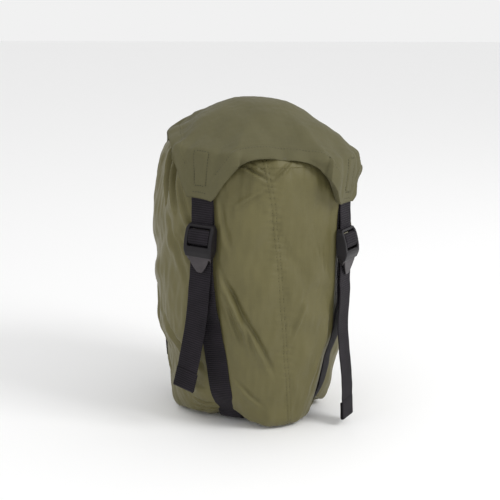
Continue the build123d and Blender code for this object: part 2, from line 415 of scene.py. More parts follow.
# Its outline as (radius, height), from the base seam round the edge, up the side and in to the neck.
SACK_LINE = rolled([(76, 3.4), (84, 3.4), (88.5, 12), (91, 28), (94, 50), (97, 76), (103.5, 104), (106, 128),
                    (107.4, 165), (107.8, 210), (107.8, 262), (105.5, 284), (101, 298), (93, 305.5),
                    (72, 316), (50, 325), (33, 331.5)], 5.0)
SACK_RUN = along(SACK_LINE)
SACK_R = 105            # the side's usual radius, for distances round it
COLLAR_RUN = float(np.interp(293, SACK_LINE[:, 1], SACK_RUN))


def line_normal(line, run, place, reach=1.5):
    """The outward normal of a profile at places along it, as (outward, up)."""
    ahead = line_at(line, run, np.clip(place + reach, 0, run[-1]))
    behind = line_at(line, run, np.clip(place - reach, 0, run[-1]))
    step = unit(ahead - behind)
    return np.stack([step[..., 1], -step[..., 0]], -1)


def strap_bearing(bearing, z):
    """Where a strap runs on the sack at a height."""
    return bearing + TWIST * (1 - np.clip(np.asarray(z, float) / 180, 0, 1))


STRAP_FOOT = 34.0       # the straps under the base begin to rise from here
FOOT_RADII, FOOT_HEIGHTS = [34, 42, 54, 66, 76], [0.7, 1.1, 3.0, 6.5, 11.5]

# The front seam's bearing at a few heights, wrung like the straps.
SEAM_Z = [0, 40, 90, 140, 200, 250, 300, 335]
SEAM_BEARING = [284, 280, 275.5, 272, 268.5, 265, 259.5, 257]


def seam_bearing(z):
    return np.interp(z, SEAM_Z, SEAM_BEARING)


# Folds in the side, each a route of (bearing, height), with its half width, the height of its
# ridge and the depth of the hollow on its left, all in millimetres.
FOLDS = [
    ([(233, 188), (240, 162), (249, 130), (259, 98), (268, 64)], 6.0, 2.2, 3.0),
    ([(237, 172), (244, 146), (250, 118), (255, 90)], 4.5, 1.4, 2.2),
    ([(238, 150), (243, 122), (248, 98)], 4.0, 1.0, 1.4),
    ([(243, 60), (254, 40), (262, 28)], 5.0, 1.0, 1.4),
    ([(285, 152), (281, 128), (277, 104)], 5.0, -1.0, -1.2),
    ([(308, 150), (304, 90), (297, 40)], 8.0, 1.4, 2.0),
    ([(232, 262), (236, 232), (240, 205)], 6.0, 0.9, 1.2),
    ([(244, 297), (253, 287), (261.5, 279)], 3.4, 1.8, 2.4),
    ([(249, 301), (256, 292), (262, 285)], 2.4, 0.9, 1.3),
    ([(275, 297), (268, 287), (263, 280)], 3.0, -1.4, -1.8),
    ([(262, 274), (252, 262), (243, 252)], 4.0, 0.9, 1.2),
    ([(179, 312), (184, 294), (189, 270), (193, 246)], 5.0, 2.6, 4.6),
    ([(190, 304), (196, 286), (201, 264), (205, 240)], 4.6, 2.4, 4.0),
    ([(203, 280), (210, 252), (216, 224), (220, 196)], 5.5, 1.2, 1.8),
    ([(196, 240), (200, 214), (207, 184), (213, 160)], 8.0, 1.2, 1.4),
    ([(206, 214), (212, 196), (217, 180)], 4.0, 0.9, 1.2),
    ([(186, 118), (200, 92), (214, 72), (226, 60)], 8.0, 1.6, 1.8),
    ([(196, 62), (210, 48), (224, 42)], 6.0, 1.0, 1.4),
    ([(208, 28), (220, 22), (232, 24)], 3.0, 1.2, 2.0),
    ([(205, 17), (219, 13), (233, 14)], 2.6, 1.0, 1.6),
    ([(318, 262), (326, 236), (331, 206)], 6.0, 1.0, 1.4),
    ([(340, 296), (346, 262), (350, 226)], 6.0, 1.6, 2.2),
    ([(4, 300), (8, 270), (9, 236)], 5.5, 1.6, 2.4),
    ([(28, 290), (24, 256), (22, 218)], 6.0, 1.2, 1.8),
    ([(352, 150), (6, 112), (18, 78), (30, 52)], 8.0, 1.6, 2.0),
    ([(338, 120), (350, 84), (2, 50)], 7.0, 1.4, 1.6),
    ([(62, 300), (66, 272), (70, 240)], 5.0, 1.4, 2.0),
    ([(84, 298), (86, 262), (90, 224)], 6.0, 1.6, 2.2),
    ([(108, 296), (104, 266), (102, 236)], 5.0, 1.2, 1.8),
    ([(58, 170), (70, 132), (84, 96), (94, 66)], 8.0, 1.8, 2.0),
    ([(100, 130), (110, 90), (124, 56)], 7.0, 1.4, 1.8),
    ([(152, 298), (156, 268), (160, 236)], 5.5, 1.6, 2.4),
    ([(150, 172), (160, 138), (172, 104), (182, 80)], 8.0, 1.6, 2.0),
    ([(158, 84), (170, 60), (184, 44)], 6.0, 1.2, 1.6),
]


def fold_height(bearing, z, route, width, ridge, hollow):
    """The height of one fold over a field of points: a ridge with a hollow on its left."""
    scale = SACK_R * pi / 180
    route = np.array(route, float)
    middle = route[len(route) // 2, 0]
    u = turn_between(bearing, middle) * scale
    line = np.stack([turn_between(route[:, 0], middle) * scale, route[:, 1]], 1)
    line = rolled(line, 6.0, 3.0)
    lengths = along(line)
    near = np.full(bearing.shape, 1e9)
    side = np.zeros(bearing.shape)
    share = np.zeros(bearing.shape)
    for a, b, run in zip(line[:-1], line[1:], lengths[:-1]):
        step = b - a
        length = hypot(*step)
        t = ((u - a[0]) * step[0] + (z - a[1]) * step[1]) / length**2
        inside = np.clip(t, 0, 1)
        du, dz = u - a[0] - inside * step[0], z - a[1] - inside * step[1]
        distance = np.hypot(du, dz)
        closer = distance < near
        near = np.where(closer, distance, near)
        side = np.where(closer, np.sign(step[0] * dz - step[1] * du), side)
        share = np.where(closer, (run + inside * length) / lengths[-1], share)
    across = near * side
    fade = np.sin(pi * np.clip(share, 0.02, 0.98)) ** 0.7
    raised = ridge * bump(across + 0.4 * width, 0.75 * width)
    return (raised - hollow * bump(across - 0.55 * width, 0.5 * width)) * fade


LEANS_TO, LEANS_BY = 162, 2.6                     # where the filling bulges between the straps
FOLD_STRENGTH, FOLD_WIDTH = 1.6, 0.85
FOOT_DRAWN = ((214, 8.0), (120, 4.0), (20, 5.0))    # bearings where the bottom edge is drawn in


def plain_height(bearing, run):
    """How far the filled sack stands out from its plain outline, without its folds."""
    r, z = np.moveaxis(line_at(SACK_LINE, SACK_RUN, run), -1, 0)
    u, v = np.radians(bearing) * SACK_R, run
    total = np.zeros(np.broadcast(bearing, run).shape)
    low = 1 - smooth_step(z, 20, 190)
    dome = smooth_step(z, 296, 330)
    foot = 1 - smooth_step(z, 6, 40)
    for corner_bearing, _, _ in CORNERS.values():
        off = distance_round(bearing, strap_bearing(corner_bearing, z), r)
        total -= (1.0 + 6.0 * low) * bump(off, 19) * (1 - dome)
        total -= 9.0 * foot * bump(off, 26)
    for middle in ARCHES:
        off = turn_between(bearing, strap_bearing(middle, z))
        total += 2.4 * low * bump(off, 26) * (1 - dome)
    for middle, drawn in FOOT_DRAWN:
        total -= drawn * (1 - smooth_step(z, 8, 46)) * bump(turn_between(bearing, middle), 26)
    total += 1.3 * ripples(u, v * 0.7, 95, 3) * (1 - 0.6 * dome)
    total += 0.45 * ripples(u * 1.3, v * 0.5, 34, 5)
    return total


def fold_heights(bearing, run):
    """The folds, seam, pleats and wrinkles of the cloth, flattened under the straps."""
    r, z = np.moveaxis(line_at(SACK_LINE, SACK_RUN, run), -1, 0)
    u, v = np.radians(bearing) * SACK_R, run
    dome = smooth_step(z, 296, 330)
    total = 0.16 * ripples(u * 1.4, v * 0.55, 13, 8) * (1 - 0.5 * dome)
    for route, width, ridge, hollow in FOLDS:
        total += FOLD_STRENGTH * fold_height(bearing, z, route, FOLD_WIDTH * width, ridge, hollow)
    total += seam_height(bearing, r, z, v)
    total += gather_height(bearing, dome)
    total += wrinkle_height(bearing, run)
    lean = np.cos(np.radians(bearing - LEANS_TO))
    total += LEANS_BY * lean * smooth_step(z, 70, 120) * (1 - smooth_step(z, 235, 280))
    return total * (1 - under_strap(bearing, r, z))


def under_strap(bearing, r, z):
    """1 where a strap presses the cloth flat, and 0 away from the straps."""
    pressed = np.zeros(np.broadcast(bearing, z).shape)
    for corner_bearing, _, _ in CORNERS.values():
        off = distance_round(bearing, strap_bearing(corner_bearing, z), r)
        pressed = np.maximum(pressed, 1 - smooth_step(np.abs(off), 12, 20))
    return pressed * (1 - smooth_step(z, 266, 288))


def seam_height(bearing, r, z, v):
    """The front seam: a lapped strip between two rows of stitches, with puckers beside it."""
    off = distance_round(bearing, seam_bearing(z), r)
    strip = 0.7 * (smooth_step(off, -4.2, -3.4) - smooth_step(off, 3.0, 3.6))
    rows = -0.95 * (bump(off + 2.4, 1.1) + bump(off - 1.6, 1.1))
    fade = 1 - smooth_step(z, 300, 318)
    pucker = np.sin(2 * pi * (v + 2.2 * np.sin(v / 9.0) + off * 0.22) / 7.4)
    pucker += 0.6 * np.sin(2 * pi * (v + 3 * np.sin(v / 17.0) - off * 0.35) / 4.9 + 1.3)
    uneven = (0.55 + 0.45 * ripples(v, v * 0, 36, 11)) * (0.45 + 0.75 * smooth_step(z, 110, 210))
    beside = np.where(off < 0, bump(off + 2, 9.0), bump(off - 2, 7.0))
    sag = -1.5 * bump(off, 13.0)
    return (strip + rows + 0.62 * pucker * uneven * beside + sag) * fade


def gather_height(bearing, dome):
    """Pleats that the neck's draw channel pulls into the collar."""
    pleats = np.sin(np.radians(bearing) * 26 + 1.3 * np.sin(np.radians(bearing) * 5))
    small = np.sin(np.radians(bearing) * 47 + 2.0 * np.sin(np.radians(bearing) * 7))
    return (1.9 * pleats + 0.9 * small) * dome


SIM_COLUMNS, SIM_ROWS, SIM_FRAMES = 200, 118, 22
SIM_SPARE = -0.035      # the simulated cloth is this much too large for the sack, so it wrinkles
SIM_CLOTH = {"quality": 6, "mass": 0.15, "tension_stiffness": 18, "compression_stiffness": 18,
             "shear_stiffness": 4, "bending_stiffness": 0.12, "air_damping": 3, "use_pressure": True,
             "uniform_pressure_force": 2.2, "shrink_min": SIM_SPARE, "vertex_group_mass": "held"}
WRINKLE_CAP = 1.8       # the most that a wrinkle may stand out or in


def simulate_wrinkles():
    """Lets slightly oversized cloth settle on the sack, and returns how far its wrinkles stand out.

    The cloth is held at the base, the neck, the straps and the front seam, as the real one is.
    """
    bearings = bearings_round(SIM_COLUMNS)
    runs = np.linspace(2, SACK_RUN[-1] - 12, SIM_ROWS)
    points = sack_points(bearings, runs[:, None], folds=False)
    z = points[..., 2]
    piece = make_piece("wrinkling", points, grid_faces(SIM_ROWS, SIM_COLUMNS, wrap=True))
    held = np.zeros(z.shape)
    radius = np.hypot(points[..., 0], points[..., 1])
    for bearing, _, _ in CORNERS.values():
        off = distance_round(bearings, strap_bearing(bearing, z), radius)
        held = np.maximum(held, (np.abs(off) < 9) * (z < 165))
    seam_off = distance_round(bearings, seam_bearing(z), radius)
    held = np.maximum(held, np.abs(seam_off) < 3)
    held[:2], held[-2:] = 1, 1
    group = piece.vertex_groups.new(name="held")
    for index in np.nonzero(held.ravel())[0]:
        group.add([int(index)], 1.0, "ADD")
    cloth = with_modifier(piece, "CLOTH").settings
    for key, value in SIM_CLOTH.items():
        setattr(cloth, key, value)
    cloth.effector_weights.gravity = 0.25
    scene = bpy.context.scene
    scene.frame_start, scene.frame_end = 1, SIM_FRAMES
    for frame_number in range(1, SIM_FRAMES + 1):
        scene.frame_set(frame_number)
    settled = applied(piece)
    moved = np.zeros(len(settled.data.vertices) * 3)
    settled.data.vertices.foreach_get("co", moved)
    scene.frame_set(1)
    bpy.data.objects.remove(settled)
    shift = moved.reshape(points.shape) / MM - points
    outward = sack_points(bearings, runs[:, None], 1.0, folds=False) - points
    rise = (shift * outward).sum(-1)
    rise = blurred(rise - blurred(rise, 7, 7), 0.6, 3.5)
    return bearings, runs, WRINKLE_CAP * np.tanh(rise / WRINKLE_CAP)


def blurred(field, across, up):
    """A field smoothed over some cells each way; columns run round and rows end at the edges."""
    for reach, mode in ((across, "wrap"), (up, "edge")):
        sides = int(3 * reach) + 1
        kernel = bump(np.arange(-sides, sides + 1), reach)
        padded = np.pad(field, ((0, 0), (sides, sides)), mode)
        field = np.stack([np.convolve(row, kernel / kernel.sum(), "valid") for row in padded], 1)
    return field


WRINKLES = None


def wrinkle_height(bearing, run):
    """The simulated wrinkles, read between their grid points."""
    if WRINKLES is None:
        return 0.0
    bearings, runs, rise = WRINKLES
    column = (np.asarray(bearing, float) % 360) / 360 * SIM_COLUMNS
    row = np.clip((run - runs[0]) / (runs[1] - runs[0]), 0, SIM_ROWS - 1.001)
    column, row = np.broadcast_arrays(column, row)
    c, r = np.floor(column).astype(int), np.floor(row).astype(int)
    fc, fr = column - c, row - r
    fc, fr = fc * fc * (3 - 2 * fc), fr * fr * (3 - 2 * fr)
    c0, c1 = c % SIM_COLUMNS, (c + 1) % SIM_COLUMNS
    low = rise[r, c0] * (1 - fc) + rise[r, c1] * fc
    high = rise[r + 1, c0] * (1 - fc) + rise[r + 1, c1] * fc
    return low * (1 - fr) + high * fr


def sack_points(bearing, run, lift=0.0, folds=True):
    """Points on the sack's cloth, or lift millimetres off it."""
    bearing, run = np.broadcast_arrays(np.asarray(bearing, float), np.asarray(run, float))
    place = line_at(SACK_LINE, SACK_RUN, run)
    normal = line_normal(SACK_LINE, SACK_RUN, run)
    out = plain_height(bearing, run) + lift
    if folds:
        out = out + fold_heights(bearing, run)
    return around(bearing, place[..., 0] + out * normal[..., 0], place[..., 1] + out * normal[..., 1])


def run_at_height(z):
    """The length along the outline at a height on the side."""
    return np.interp(z, SACK_LINE[:, 1], SACK_RUN)


# ---- the sack's pieces --------------------------------------------------------------------------


def cloth_band(name, first, last, rows, columns=520):
    """A ring of the sack's cloth, between two places along its outline, with a real thickness."""
    bearings = bearings_round(columns)
    runs = np.linspace(first, last, rows)
    points = sack_points(bearings, runs[:, None])
    uv = pairs(bearings * pi / 180 * 107, runs[:, None])
    piece = make_piece(name, points, grid_faces(rows, columns, wrap=True), uv)
    with_modifier(piece, "SOLIDIFY", thickness=0.5 * MM, offset=-1)
    return applied(piece)


def make_side_panel():
    piece = cloth_band("side_panel_cloth", 2.0, COLLAR_RUN, 200)
    return finish_piece(piece, sack_cloth, "sack", replaces=["side_panel"])


def make_collar():
    piece = cloth_band("neck_collar_cloth", COLLAR_RUN - 1.0, SACK_RUN[-1], 60)
    return finish_piece(piece, collar_cloth, "sack", replaces=["neck_collar"])


def make_base():
    """The round base: slack between the straps that cross under it."""
    rings, columns = 44, 260
    bearings = bearings_round(columns)
    edge = sack_points(bearings, np.full(columns, 3.0))
    share = np.linspace(1, 0.004, rings)[:, None]
    rows = edge[None] * share[..., None]
    x, y = rows[..., 0], rows[..., 1]
    pulled = np.zeros(x.shape)
    for corner_bearing, _, _ in CORNERS.values():
        angle = radians(corner_bearing + TWIST)
        aside = np.abs(-x * sin(angle) + y * cos(angle))
        ahead = x * cos(angle) + y * sin(angle)
        pulled = np.maximum(pulled, np.where(ahead > 0, 1 - smooth_step(aside, 9, 26), 0))
    raised = np.interp(np.hypot(x, y), FOOT_RADII, FOOT_HEIGHTS) - FOOT_HEIGHTS[0]
    flat = 2.0 + (1.6 + raised) * pulled
    rows[..., 2] = edge[None, :, 2] * share**8 + (1 - share**8) * flat
    rows[..., 2] += 0.35 * ripples(x, y, 24, 21) * (1 - share**4)
    faces = grid_faces(rings, columns, wrap=True)[:, ::-1]
    piece = make_piece("base_panel_cloth", rows, faces, rows[..., :2])
    with_modifier(piece, "SOLIDIFY", thickness=0.5 * MM, offset=-1)
    return finish_piece(applied(piece), sack_cloth, "sack", replaces=["base_panel"])


def make_neck_hem():
    """The channel round the mouth, gathered on its cord line."""
    columns, sides = 300, 14
    bearings = bearings_round(columns)
    turn = np.radians(bearings)
    tube = 3.5 + 0.5 * np.sin(turn * 26 + 1.3 * np.sin(turn * 5)) + 0.3 * np.sin(turn * 47)
    low, high = (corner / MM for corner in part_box("neck_hem"))
    radius, height = high.x - 4.0, (low.z + high.z) / 2
    angle = (np.arange(sides) * 2 * pi / sides)[:, None]
    points = around(bearings, radius + tube * np.cos(angle), height + 0.95 * tube * np.sin(angle))
    uv = pairs(bearings * 0.6, angle * 4)
    piece = make_piece("neck_hem_cloth", points, tube_faces(sides, columns)[:, ::-1], uv)
    return finish_piece(piece, collar_cloth, "sack", replaces=["neck_hem"])


def stitch_row(name, points, normals, long=2.5, gap=0.9, thick=0.28):
    """Stitches along a line of points: short, slightly sunk and rounded, one after another."""
    lengths = along(points)
    sides, stations = 6, 6
    all_points, faces = [], []
    start = 0.5
    while start + long < lengths[-1]:
        places = start + long * np.linspace(0, 1, stations)
        middle = line_at(points, lengths, places)
        up = unit(line_at(normals, lengths, places))
        ahead = unit(np.gradient(middle, axis=0))
        aside = np.cross(up, ahead)
        swell = np.sin(pi * np.linspace(0.06, 0.94, stations)) ** 0.5
        sink = -0.35 * (1 - np.sin(pi * np.linspace(0, 1, stations)))
        base = len(all_points) * sides
        for k in range(stations):
            turn = np.arange(sides) * 2 * pi / sides
            ring = middle[k] + up[k] * sink[k] + swell[k] * thick * (
                np.cos(turn)[:, None] * aside[k] + np.sin(turn)[:, None] * up[k])
            all_points.append(ring)
        for k in range(stations - 1):
            for s in range(sides):
                t = (s + 1) % sides
                a = base + k * sides
                faces.append((a + s, a + t, a + sides + t, a + sides + s))
        faces.append(tuple(base + s for s in reversed(range(sides))))
        faces.append(tuple(base + (stations - 1) * sides + s for s in range(sides)))
        start += long + gap
    return make_piece(name, np.concatenate(all_points), faces)


def make_front_stitches():
    """The two rows of stitches that hold the front seam."""
    runs = np.arange(run_at_height(8), run_at_height(302), 1.0)
    z = line_at(SACK_LINE, SACK_RUN, runs)[:, 1]
    rows = []
    for k, off in enumerate((-2.4, 1.6)):
        bearing = seam_bearing(z) + degrees(off / SACK_R)
        points = sack_points(bearing, runs, lift=0.12)
        normals = sack_points(bearing, runs, lift=2.0) - points
        rows.append(stitch_row(f"row_{k}", points, normals))
    piece = joined("front_seam_stitches", rows)
    return finish_piece(piece, seam_thread, "sack")


# ---- the lid ------------------------------------------------------------------------------------

LEGS = (45, 135, 225, 315)
LID_TILT, TILT_Z = 3.5, 285.0       # the lid leans down to the right
LID_TOP = 353.0
SHOULDER_R, SHOULDER_Z = 118.0, 304.5
LEG_R, LEG_Z = 113.6, 255.0
# Half of each arch's edge as (bearing from its middle, radius, height) on the level lid. The front
# one hangs lower on its right, so it has one table for each side.
LEG_SIDE = 37.7         # degrees from an arch's middle to the side of the leg beside it
ARCH_RADIUS = [(0, 101.5), (9, 103.2), (15, 106.5), (20, 110.0), (25, 112.8), (30, 113.6), (LEG_SIDE, LEG_R)]
FRONT_LEFT = [(0, 301.6), (5, 302), (10, 302), (15, 301.5), (20, 299), (24, 294.5), (27, 289), (30, 281),
              (32, 275), (34, 267), (36, 258.6), (LEG_SIDE, LEG_Z)]
FRONT_RIGHT = [(0, 301.6), (5, 301.6), (10, 301), (15, 299.3), (20, 294.5), (24, 287.5), (27, 281), (30, 272),
               (32, 265.5), (34.5, 257.6), (LEG_SIDE, LEG_Z)]
LEFT_FRONT = [(0, 311.5), (5, 310.5), (10, 307), (15, 305), (20, 302.5), (25, 296.5), (30, 287), (34, 272),
              (36, 262.5), (LEG_SIDE, LEG_Z)]
PLAIN = [(0, 308), (10, 307), (15, 304), (20, 297), (25, 286), (30, 272), (34, 260.5), (36, 256.4),
         (LEG_SIDE, LEG_Z)]
STEEP = [(0, 308), (10, 307.5), (15, 305), (20, 300), (25, 291), (30, 278), (33, 268), (35, 260),
         (LEG_SIDE, LEG_Z)]
LEFT_BACK = [(0, 311.5), (5, 312), (10, 311.5), (15, 310), (20, 307), (25, 301), (30, 288), (34, 270),
             (LEG_SIDE, LEG_Z)]
# Each arch's bearing, with its edge before and after that bearing.
ARCHES = {0: (STEEP, PLAIN), 90: (PLAIN, PLAIN), 180: (LEFT_BACK, LEFT_FRONT), 270: (FRONT_LEFT, FRONT_RIGHT)}
# Where the lid's shoulder is drawn in: bearing, spread and depth.
DRAWN_SHOULDERS = ((148, 24, 12.5), (338, 24, 5.5))


def tilt_lid(points):
    """Level lid points, leaned over as the lid lies."""
    x, y, z = np.moveaxis(np.asarray(points, float), -1, 0)
    lean = radians(LID_TILT)
    up = z - TILT_Z
    return np.stack([x * cos(lean) + up * sin(lean), y, TILT_Z - x * sin(lean) + up * cos(lean)], -1)


def drawn_shoulder(bearing):
    """How far the lid's shoulder is drawn in at a bearing."""
    return float(sum(depth * bump(turn_between(bearing, middle), spread)
                     for middle, spread, depth in DRAWN_SHOULDERS))


def lid_edge(columns_per_arch, columns_per_leg):
    """The lid's edge points as bearing, radius, height, and how far each is drawn in at its arch."""
    edge = []
    for middle, (before, after) in ARCHES.items():
        left = [(-turn, z) for turn, z in reversed(before)]
        route = np.array(left + list(after[1:]))
        route[:, 1] = np.where(route[:, 0] == 0, (before[0][1] + after[0][1]) / 2, route[:, 1])
        line = rolled(route, 1.6, 0.2)
        lengths = along(line)
        line = line_at(line, lengths, np.linspace(0, lengths[-1], columns_per_arch))
        for turn, height in line:
            radius = float(np.interp(abs(turn), *zip(*ARCH_RADIUS)))
            share = float(1 - smooth_step(abs(turn), 12, 26))
            radius -= drawn_shoulder(middle + turn) * float(smooth_step(height, 256, 278))
            edge.append((middle + turn, radius, height, share))
        first, last = edge[-1][0], middle + 90 - LEG_SIDE
        for t in np.linspace(0, 1, columns_per_leg + 2)[1:-1]:
            edge.append((first + (last - first) * t, LEG_R, LEG_Z, 0.0))
    return np.array(edge)


def lid_surface(edge, rows):
    """The lid's outer face, still level: rows from the top's middle out to the edge."""
    grid = np.zeros((rows, len(edge), 3))
    lengths = np.zeros((rows, len(edge)))
    for k, (bearing, radius, height, share) in enumerate(edge):
        drawn = float(smooth_step(height, 288, 305))
        shoulder = SHOULDER_R - drawn_shoulder(bearing)
        corner = np.array([shoulder - 0.6, SHOULDER_Z + 0.2]) * (1 - drawn)
        corner += np.array([radius - 4.5, height + 4.2]) * drawn
        line = [(0, LID_TOP), (18, LID_TOP - 0.5), (32, 350.2), (50, 342.6), (72 - 2 * share, 331.6 - share)]
        line.append(tuple(corner))
        short = float(smooth_step(height, 272, 297))
        knee = np.array([shoulder, SHOULDER_Z - 5]) * (1 - short)
        line.append(tuple(knee + np.array([radius - 1.3, height + 1.8]) * short))
        line.append((radius, height))
        line = rolled(line, 4.0 - 1.0 * drawn, 0.8)
        line[0] = (0, LID_TOP)
        line[-1] = (radius, height)
        run = along(line)
        places = run[-1] * np.linspace(0, 1, rows)
        spot = line_at(line, run, places)
        grid[:, k] = around(bearing, spot[:, 0], spot[:, 1])
        lengths[:, k] = places
    return grid, lengths


def surface_normals(grid):
    """Unit normals of a grid of points, outward when rows run out and columns run round."""
    around_columns = (np.roll(grid, -1, 1) - np.roll(grid, 1, 1)) / 2
    normal = np.cross(np.gradient(grid, axis=0), around_columns)
    size = np.linalg.norm(normal, axis=-1, keepdims=True)
    normal = normal / np.maximum(size, 1e-9)
    normal[0] = (0, 0, 1)
    return normal


BOX_FROM, BOX_TO, BOX_HALF = 50.0, 13.0, 9.5     # the box of stitches, measured up from a leg's end
HEM_DEEP = 13.5         # the hem's stitches run this far in from the lid's edge


def box_relief(off, from_end):
    """The pressed lines and the slight swelling of the sewn-in loop on a leg."""
    middle, reach = (BOX_FROM + BOX_TO) / 2, (BOX_FROM - BOX_TO) / 2
    outside = np.maximum(np.abs(off) - BOX_HALF, np.abs(from_end - middle) - reach)
    return 0.55 * (1 - smooth_step(outside, -2.5, 0.2)) - 0.75 * bump(outside, 1.1)


def near_leg_end(bearing, length):
    """1 on the end of a leg, where the sewn-in loop keeps the cloth flat, and 0 away from it."""
    near = np.zeros(np.shape(length))
    for leg in LEGS:
        near = np.maximum(near, bump(turn_between(bearing, leg), 9))
    return 0.93 * near * smooth_step(length, 100, 132)


def lid_relief(bearing, length, to_edge, share):
    """Dents, tension lines and the turned hem of the lid, as height over its plain surface."""
    x = length * np.cos(np.radians(bearing))
    y = length * np.sin(np.radians(bearing))
    far = smooth_step(length, 20, 90)
    loose = far * (1 - near_leg_end(bearing, length))
    total = (1.5 * ripples(x, y, 80, 31) + 0.5 * ripples(x, y, 30, 32)) * loose
    total += 0.07 * ripples(x, y, 8, 33)
    for leg in LEGS:
        off = distance_round(bearing, leg, np.maximum(length, 1))
        total += 0.7 * bump(off, 24) * smooth_step(length, 30, 110) * (1 - smooth_step(length, 118, 140))
        on_leg = np.abs(turn_between(bearing, leg)) < 20
        total += np.where(on_leg, box_relief(off, LEG_LENGTH - length), 0)
        total += np.where(on_leg, off**2 / (2 * LEG_R) * smooth_step(length, 120, 145), 0)
        for side in (-1, 1):
            pull = bump(off - side * (20 + 0.18 * (length - 130)), 5.0)
            total -= 1.1 * pull * smooth_step(length, 100, 135) * smooth_step(to_edge, 1, 9)
    total -= 0.9 * bump(to_edge - 30, 18) * share
    total += 0.35 * smooth_step(15.5 - to_edge, 0, 1.2) - 0.30 * bump(to_edge - 15.6, 1.0)
    return total


LID_EDGE = lid_edge(90, 18)
LID_ROWS = 120
LEG_MIDDLE = np.argmin(np.abs(LID_EDGE[:, 0] - 225))
LEG_LENGTH = float(lid_surface(LID_EDGE[LEG_MIDDLE][None], LID_ROWS)[1][-1, 0])


def evened(normals, times):
    """Unit normals averaged with their neighbours round the lid, a few times over."""
    for _ in range(times):
        normals = unit(normals + np.roll(normals, 1, 1) + np.roll(normals, -1, 1))
    return normals


def lid_grids():
    """The finished outer face and lining of the lid, in the sack's frame, with their flat maps."""
    grid, lengths = lid_surface(LID_EDGE, LID_ROWS)
    bearing = np.broadcast_to(LID_EDGE[:, 0], lengths.shape)
    flat = np.stack([lengths * np.cos(np.radians(bearing)), lengths * np.sin(np.radians(bearing))], -1)
    edge = flat[-1]
    to_edge = np.full(lengths.shape, 1e9)
    for k in range(0, len(edge), 2):
        to_edge = np.minimum(to_edge, np.hypot(flat[..., 0] - edge[k, 0], flat[..., 1] - edge[k, 1]))
    share = np.broadcast_to(LID_EDGE[:, 3], lengths.shape)
    normal = evened(surface_normals(grid), 6)
    outer = grid + lid_relief(bearing, lengths, to_edge, share)[..., None] * normal
    leg = np.zeros(lengths.shape)
    for middle in LEGS:
        off = distance_round(bearing, middle, 115)
        leg = np.maximum(leg, 1 - smooth_step(np.abs(off), 12.6, 14.6))
    leg *= smooth_step(lengths, 120, 140)
    gap = 0.9 + 2.6 * smooth_step(to_edge, 1.0, 10.0)
    gap = np.maximum(gap, 4.9 * leg)
    lining = grid - gap[..., None] * normal
    return tilt_lid(outer), tilt_lid(lining), flat, to_edge


def polar_faces(rows, columns):
    """Faces of a polar grid whose first row is a single point, kept as point 0."""
    faces = [(0, 1 + k, 1 + (k + 1) % columns) for k in range(columns)]
    quads = grid_faces(rows - 1, columns, wrap=True)[:, ::-1] + 1
    return faces + [tuple(q) for q in quads]


def polar_points(grid):
    return np.concatenate([grid[0, :1], grid[1:].reshape(-1, grid.shape[-1])])


def make_lid():
    outer, lining, flat, to_edge = lid_grids()
    rows, columns = outer.shape[:2]
    faces = polar_faces(rows, columns)
    for name, grid, thick, material, slot, node in (
            ("lid_outer_cloth", outer, 0.7, lid_cloth, "lid_cloth", "lid_outer"),
            ("lid_lining_cloth", lining, 0.5, lining_cloth, "lining_cloth", "lid_lining")):
        piece = make_piece(name, polar_points(grid), faces, polar_points(flat))
        with_modifier(piece, "SOLIDIFY", thickness=thick * MM, offset=-1)
        piece = finish_piece(applied(piece), material, "lid", replaces=[node])
    make_lid_binding(outer, lining)
    make_lid_stitches(outer, flat, to_edge)


def make_lid_binding(outer, lining):
    """The turned edge that joins the lid's two layers."""
    top, low = outer[-1], lining[-1]
    columns = len(top)
    inward = unit(outer[-4] - outer[-1])
    middle = (top + low) / 2
    across = top - low
    rings = []
    sides = 12
    for k in range(sides):
        angle = 2 * pi * k / sides
        rings.append(middle + across * 0.5 * sin(angle) * 1.08 - inward * 0.75 * cos(angle))
    run = along(np.concatenate([middle, middle[:1]]))[:-1]
    uv = pairs(run, np.arange(sides)[:, None] * 0.6)
    piece = make_piece("lid_turned_edge", rings, tube_faces(sides, columns), uv)
    return finish_piece(piece, lid_cloth, "lid")


def stitch_route(outer, flat, route):
    """Points and normals on the lid's outer face along a route of flat (x, y) points."""
    tree = KDTree(flat[1:].size // 2)
    spots = flat[1:].reshape(-1, 2)
    for k, (x, y) in enumerate(spots):
        tree.insert((x, y, 0), k)
    tree.balance()
    points = outer[1:].reshape(-1, 3)
    normals = surface_normals(outer)[1:].reshape(-1, 3)
    route = rolled(route, 0.4, 0.8)
    found, ups = [], []
    for x, y in route:
        near = tree.find_n((x, y, 0), 6)
        weights = np.array([1 / (d + 0.05) for _, _, d in near])
        weights /= weights.sum()
        index = [k for _, k, _ in near]
        found.append((points[index] * weights[:, None]).sum(0))
        ups.append((normals[index] * weights[:, None]).sum(0))
    return np.array(found), np.array(ups)


